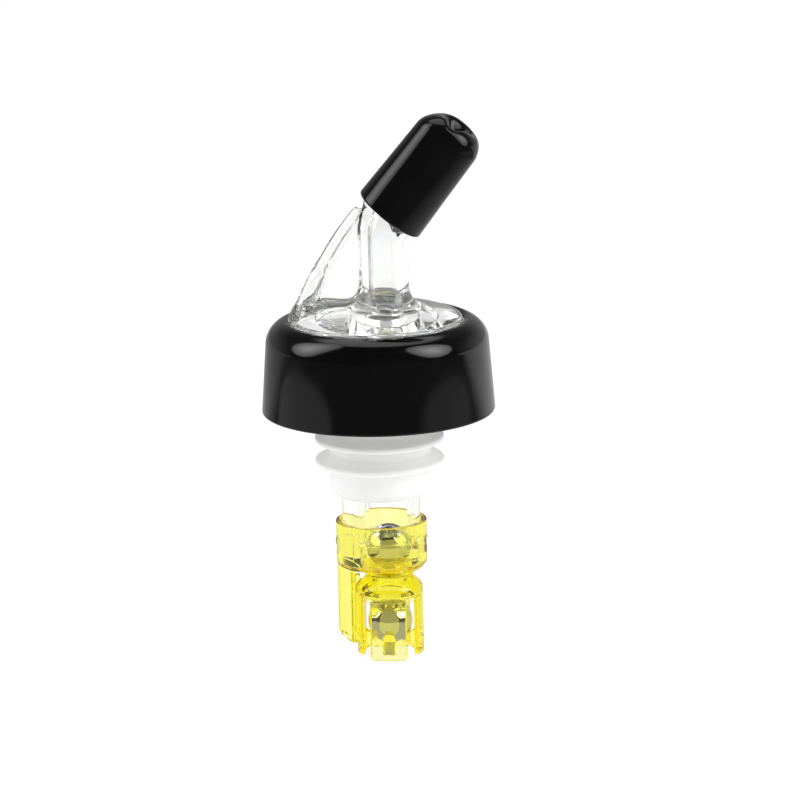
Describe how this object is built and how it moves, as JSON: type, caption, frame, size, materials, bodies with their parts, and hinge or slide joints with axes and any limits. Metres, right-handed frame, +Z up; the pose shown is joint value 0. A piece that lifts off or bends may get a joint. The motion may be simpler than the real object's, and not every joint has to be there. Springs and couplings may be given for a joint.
{
  "type": "measured liquor pourer",
  "caption": "Ball-type measured pourer for a spirit bottle, with finned cork, skirted collar, clear spout with vent duct, caged valve ball and dust cap.",
  "frame": {"origin": "on the cork's axis, in the plane of the cork flange's underside, which lies on the bottle's lip", "axes": "+Z up along the cork's axis, out of the bottle; +X the way the nozzle leans; +Y away from the picture's camera"},
  "size_m": [0.0412, 0.0412, 0.098],
  "materials": {
    "spout_clear": "clear moulded plastic",
    "collar_black": "gloss black",
    "cork_white": "soft white moulding",
    "tube_clear": "clear moulded plastic",
    "cage_yellow": "tinted clear moulded plastic",
    "ball_steel": "polished bearing steel",
    "cap_black": "glossy soft black"
  },
  "bodies": {
    "pourer": {"spout": "spout_clear", "collar": "collar_black", "cork": "cork_white", "measuring_tube": "tube_clear", "tail_cage": "cage_yellow"},
    "upper_ball": {"measuring_ball": "ball_steel"},
    "lower_ball": {"tail_ball": "ball_steel"},
    "cap": {"spout_cap": "cap_black"}
  },
  "joints": [
    {"name": "measuring_ball_travel", "type": "slide", "parent": "pourer", "child": "upper_ball", "axis": [0, 0, 1], "range_m": [0, 0.0344]},
    {"name": "tail_ball_travel", "type": "slide", "parent": "pourer", "child": "lower_ball", "axis": [0, 0, 1], "range_m": [0, 0.0039]},
    {"name": "cap_pull", "type": "slide", "parent": "pourer", "child": "cap", "axis": [0.6212, 0, 0.7837], "range_m": [0, 0.025]}
  ]
}
